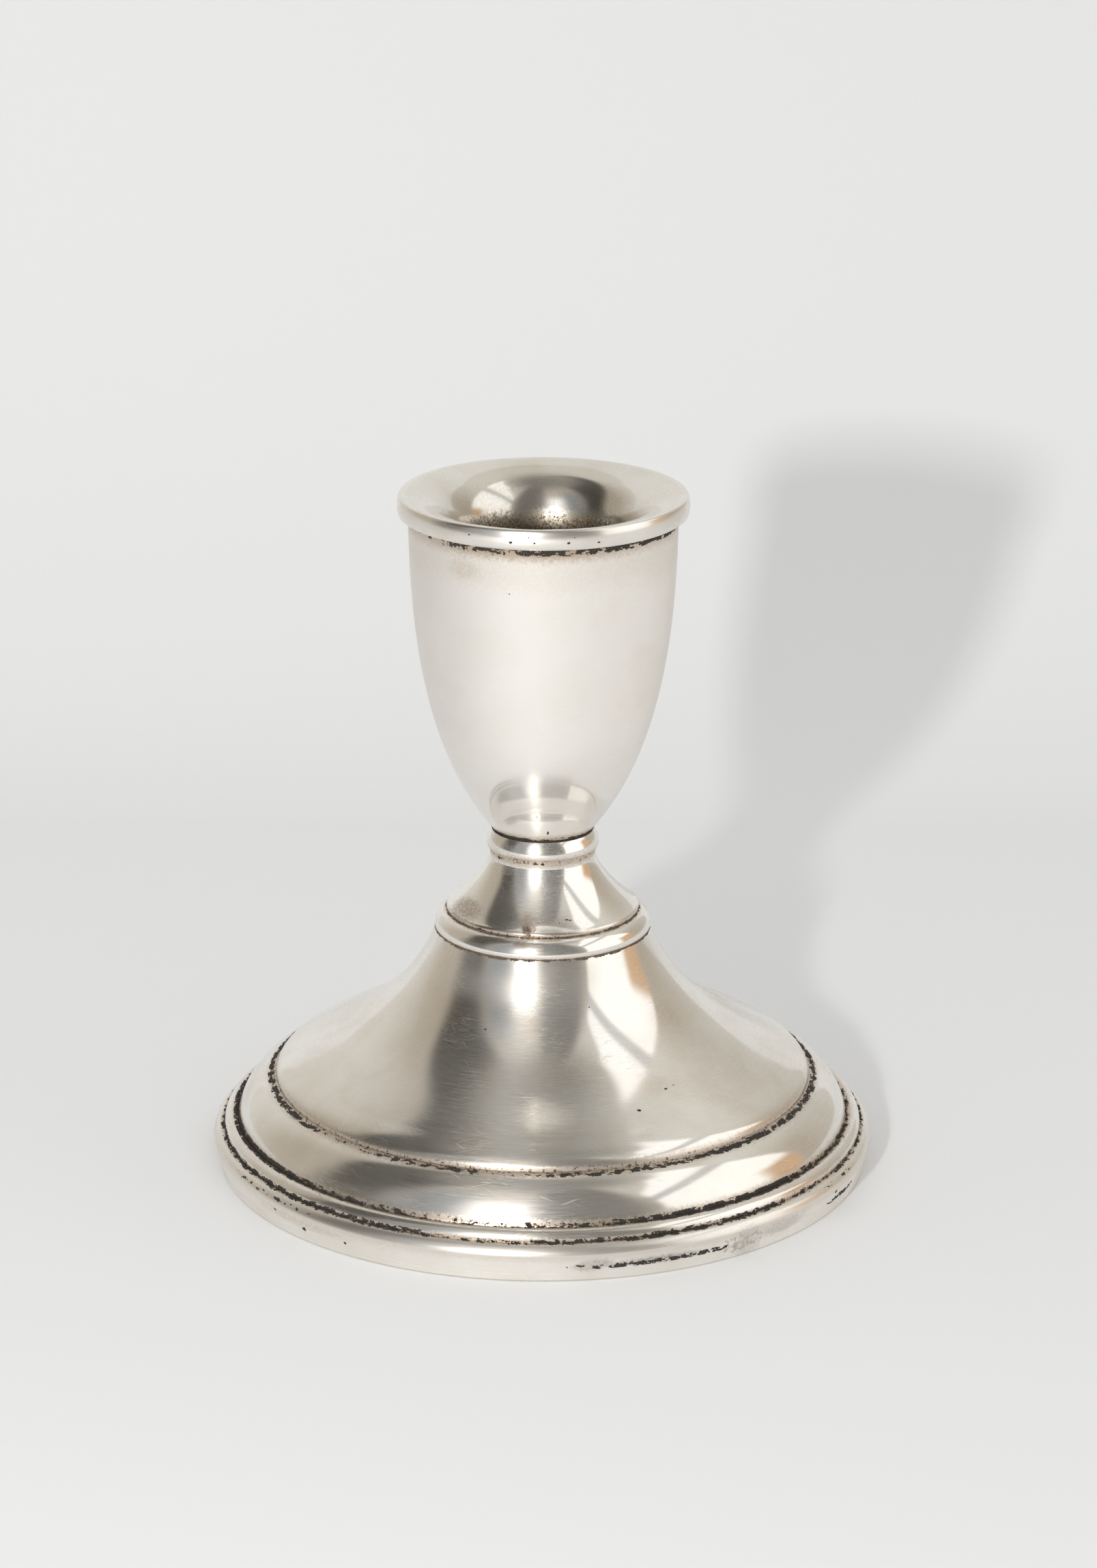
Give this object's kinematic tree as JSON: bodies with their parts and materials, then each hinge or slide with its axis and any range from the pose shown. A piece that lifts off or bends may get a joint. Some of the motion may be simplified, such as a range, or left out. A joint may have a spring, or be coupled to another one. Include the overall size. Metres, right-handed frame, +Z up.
{
  "type": "candlestick",
  "caption": "Low weighted candlestick: round moulded foot, small bell neck with a reed ring, and a tapered cup with a flared socket that screws off the neck.",
  "frame": {"origin": "centre of the resting face, on the table", "axes": "+Z up the candlestick's axis; -Y faces the viewer"},
  "size_m": [0.0954, 0.0954, 0.099],
  "materials": {
    "silver_polished": "hand-polished silver with swirl scratches, darker tarnish left in the grooves",
    "silver_satin": "satin silver with fine lines round the cup and a few pits",
    "silver_socket": "polished silver, tarnished yellow-brown down the socket",
    "brass": "turned brass",
    "steel": "plain steel, dull",
    "cement": "poured cement and pitch, matt",
    "card": "pressed card",
    "felt": "green baize",
    "leather": "thin leather washer, blackened"
  },
  "bodies": {
    "base": {"foot_shell": "silver_polished", "foot_band": "silver_polished", "reed_ring": "silver_polished", "bell_shell": "silver_polished", "neck_collar": "silver_polished", "neck_bush": "brass", "core_rod": "steel", "rod_washer": "steel", "rod_nut": "steel", "weight_fill": "cement", "base_disc": "card", "felt_pad": "felt"},
    "seat": {"seat_washer": "leather"},
    "cup": {"cup_shell": "silver_satin", "rim_band": "silver_satin", "socket_liner": "silver_socket", "cup_fill": "cement", "cup_stud": "steel", "stud_washer": "steel", "stud_nut": "steel"}
  },
  "joints": [
    {"name": "cup_rise", "type": "slide", "parent": "base", "child": "seat", "axis": [0, 0, 1], "range_m": [0, 0.00698]},
    {"name": "cup_turn", "type": "hinge", "parent": "seat", "child": "cup", "pos_m": [0, 0, 0.05], "axis": [0, 0, 1], "range_deg": [0, 1980]}
  ],
  "couplings": [
    {"joint": "cup_turn", "follows": "cup_rise", "rad_per_m": 4947.3}
  ]
}
